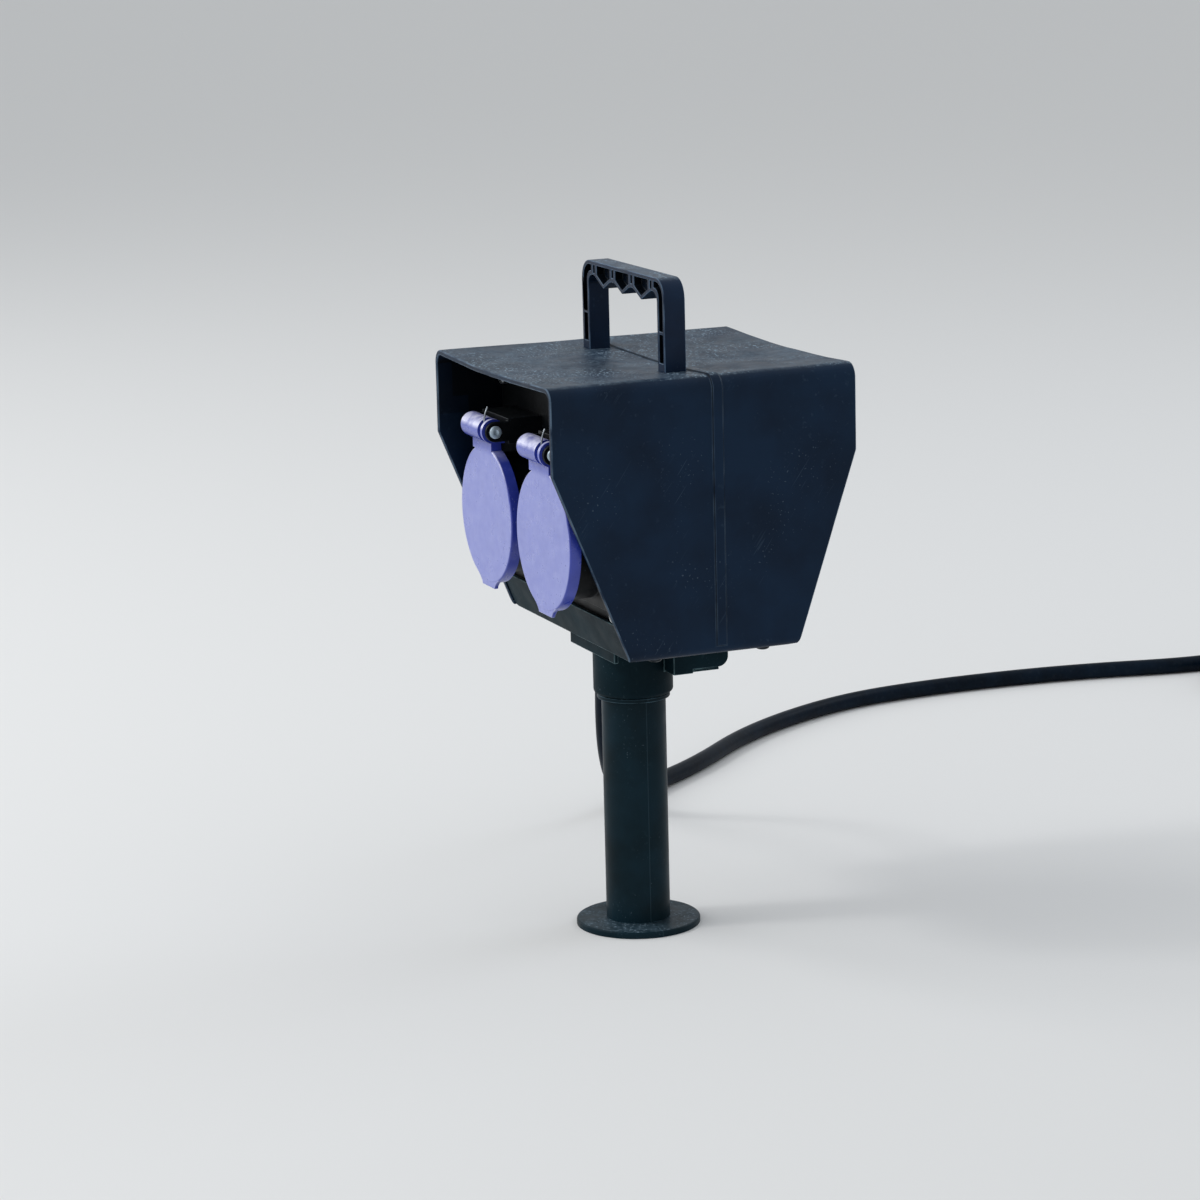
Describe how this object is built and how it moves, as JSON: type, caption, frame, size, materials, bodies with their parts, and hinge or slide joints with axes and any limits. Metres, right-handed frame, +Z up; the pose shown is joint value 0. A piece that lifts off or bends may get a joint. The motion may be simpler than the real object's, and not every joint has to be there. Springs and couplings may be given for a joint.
{
  "type": "garden socket spike",
  "caption": "Outdoor power post: slanted hood with carry handle and round sprung lids over its sockets, on a tube with ground flange and cross spike, with supply cable and plug.",
  "frame": {"origin": "on the post's axis at ground level, under the ground flange", "axes": "+Z up along the post; the front pair of outlets looks along -Y, the rear pair along +Y; +X is to the right of someone who looks at the front"},
  "size_m": [0.4225, 0.6995, 0.469],
  "materials": {
    "hood": "satin",
    "handle": "satin",
    "tray": "satin",
    "panel": "satin",
    "housing": "satin",
    "insert": "matte",
    "lid": "semi-gloss",
    "seal": "matte",
    "post": "satin",
    "spike": "satin",
    "gland": "satin",
    "terminal": "satin",
    "cable": "matte",
    "plug": "matte",
    "wire_brown": "satin",
    "wire_blue": "satin",
    "wire_green": "satin",
    "zinc": "satin",
    "spring": "satin",
    "pin_metal": "polished",
    "brass": "satin"
  },
  "bodies": {
    "unit": {"hood_shell": "hood", "carry_handle": "handle", "base_tray": "tray", "terminal_cover": "tray", "front_panel": "panel", "rear_panel": "panel", "underside_screws": "zinc", "handle_screws": "zinc", "collar_screw": "zinc", "front_panel_screws": "zinc", "front_socket_screws": "zinc", "rear_panel_screws": "zinc", "rear_socket_screws": "zinc", "terminal_block": "terminal", "terminal_screws": "zinc", "live_wires": "wire_brown", "neutral_wires": "wire_blue", "earth_wires": "wire_green", "post_tube": "post", "ground_spike": "spike", "cable_gland": "gland", "gland_nut": "gland", "strain_relief": "cable", "supply_cable": "cable", "cable_coil": "cable", "plug_body": "plug", "plug_pins": "pin_metal", "front_left_housing": "housing", "front_left_insert": "insert", "front_left_contacts": "brass", "front_left_earth_clip": "pin_metal", "front_left_hinge_pin": "pin_metal", "front_left_spring": "spring", "front_right_housing": "housing", "front_right_insert": "insert", "front_right_contacts": "brass", "front_right_earth_clip": "pin_metal", "front_right_hinge_pin": "pin_metal", "front_right_spring": "spring", "rear_left_housing": "housing", "rear_left_insert": "insert", "rear_left_contacts": "brass", "rear_left_earth_clip": "pin_metal", "rear_left_hinge_pin": "pin_metal", "rear_left_spring": "spring", "rear_right_housing": "housing", "rear_right_insert": "insert", "rear_right_contacts": "brass", "rear_right_earth_clip": "pin_metal", "rear_right_hinge_pin": "pin_metal", "rear_right_spring": "spring"},
    "front_left_lid_body": {"front_left_lid": "lid", "front_left_seal": "seal"},
    "front_right_lid_body": {"front_right_lid": "lid", "front_right_seal": "seal"},
    "rear_left_lid_body": {"rear_left_lid": "lid", "rear_left_seal": "seal"},
    "rear_right_lid_body": {"rear_right_lid": "lid", "rear_right_seal": "seal"}
  },
  "joints": [
    {"name": "front_left_hinge", "type": "hinge", "parent": "unit", "child": "front_left_lid_body", "pos_m": [-0.036, -0.0585, 0.2395], "axis": [-1, 0, 0], "range_deg": [0, 110], "stiffness_Nm_per_rad": 0.02, "springref_deg": -57.3},
    {"name": "front_right_hinge", "type": "hinge", "parent": "unit", "child": "front_right_lid_body", "pos_m": [0.036, -0.0585, 0.2395], "axis": [-1, 0, 0], "range_deg": [0, 110], "stiffness_Nm_per_rad": 0.02, "springref_deg": -57.3},
    {"name": "rear_left_hinge", "type": "hinge", "parent": "unit", "child": "rear_left_lid_body", "pos_m": [-0.036, 0.0675, 0.2395], "axis": [1, 0, 0], "range_deg": [0, 110], "stiffness_Nm_per_rad": 0.02, "springref_deg": -57.3},
    {"name": "rear_right_hinge", "type": "hinge", "parent": "unit", "child": "rear_right_lid_body", "pos_m": [0.036, 0.0675, 0.2395], "axis": [1, 0, 0], "range_deg": [0, 110], "stiffness_Nm_per_rad": 0.02, "springref_deg": -57.3}
  ]
}
